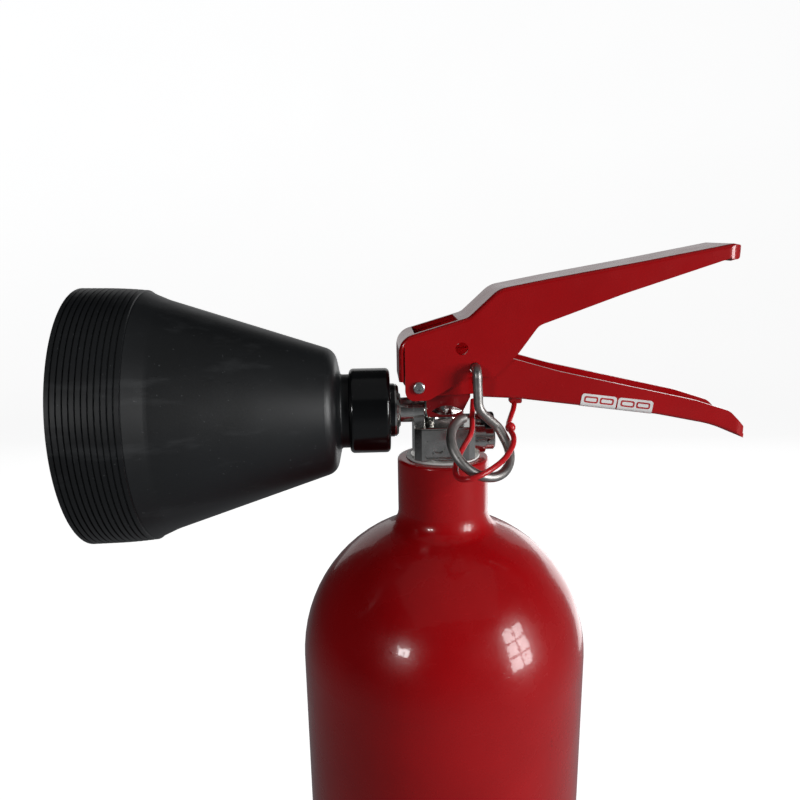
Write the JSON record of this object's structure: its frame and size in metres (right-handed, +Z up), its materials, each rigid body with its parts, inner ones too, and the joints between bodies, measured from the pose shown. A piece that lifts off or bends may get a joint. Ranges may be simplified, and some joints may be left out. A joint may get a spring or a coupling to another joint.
{
  "type": "fire extinguisher",
  "caption": "Carbon dioxide fire extinguisher: red steel cylinder, squeeze-grip valve with carrying handle, safety pin with seal, and a black ribbed discharge horn.",
  "frame": {"origin": "centre of the flat foot ring that the cylinder stands on", "axes": "+Z up along the cylinder; -X towards the discharge horn's mouth, +X towards the lever's and the handle's free ends; the safety pin pulls out along -Y"},
  "size_m": [0.2327, 0.108, 0.5141],
  "materials": {
    "red_paint": "gloss",
    "red_paint_sheet": "gloss",
    "red_paint_dark": "gloss",
    "chrome": "polished",
    "steel": "satin",
    "zinc_wire": "dull zinc",
    "brass": "machined",
    "aluminium": "drawn",
    "ptfe": "matte",
    "rubber": "matte",
    "black_plastic": "satin moulded",
    "black_plastic_gloss": "gloss",
    "red_plastic": "satin",
    "label_film": "printed film, blank"
  },
  "bodies": {
    "root": {"cylinder_shell": "red_paint", "valve_body": "chrome", "neck_seal_ring": "ptfe", "valve_seat": "brass", "stem_spring": "steel", "inlet_plug": "brass", "dip_tube": "aluminium", "stem_o_ring": "rubber", "gland_nut": "chrome", "bracket_washer": "chrome", "bracket_nut": "chrome", "saddle_bracket": "red_paint_dark", "burst_disc": "brass", "burst_disc_gasket": "ptfe", "burst_disc_nut": "chrome", "filling_port_cap": "black_plastic_gloss", "carry_handle": "red_paint_sheet", "handle_label": "label_film", "pivot_rivet": "steel", "tamper_seal_strap": "red_plastic", "tamper_seal_head": "red_plastic", "tamper_seal_knob": "red_plastic", "outlet_pipe": "chrome", "outlet_lock_ring": "chrome", "discharge_nozzle": "brass"},
    "lever": {"squeeze_lever": "red_paint_sheet"},
    "stem": {"valve_stem": "steel", "stem_poppet_seal": "rubber"},
    "pin": {"safety_pin": "zinc_wire"},
    "horn": {"horn": "black_plastic", "horn_collar": "black_plastic_gloss", "horn_washer": "rubber"}
  },
  "joints": [
    {"name": "lever_squeeze", "type": "hinge", "parent": "root", "child": "lever", "pos_m": [-0.00935, 0, 0.4679], "axis": [0, 1, 0], "range_deg": [0, 14], "stiffness_Nm_per_rad": 0.6, "springref_deg": -20.05, "deforming": ["tamper_seal_strap", "tamper_seal_knob"]},
    {"name": "stem_press", "type": "slide", "parent": "root", "child": "stem", "axis": [0, 0, -1], "range_m": [0, 0.0025], "deforming": ["stem_spring"]},
    {"name": "pin_pull", "type": "slide", "parent": "lever", "child": "pin", "axis": [0, -1, 0], "range_m": [0, 0.036], "deforming": ["tamper_seal_strap", "tamper_seal_knob"]},
    {"name": "horn_swivel", "type": "hinge", "parent": "root", "child": "horn", "pos_m": [-0.03, 0, 0.4576], "axis": [1, 0, 0], "continuous": true}
  ],
  "couplings": [
    {"joint": "stem_press", "follows": "lever_squeeze", "m_per_rad": 0.0098}
  ]
}
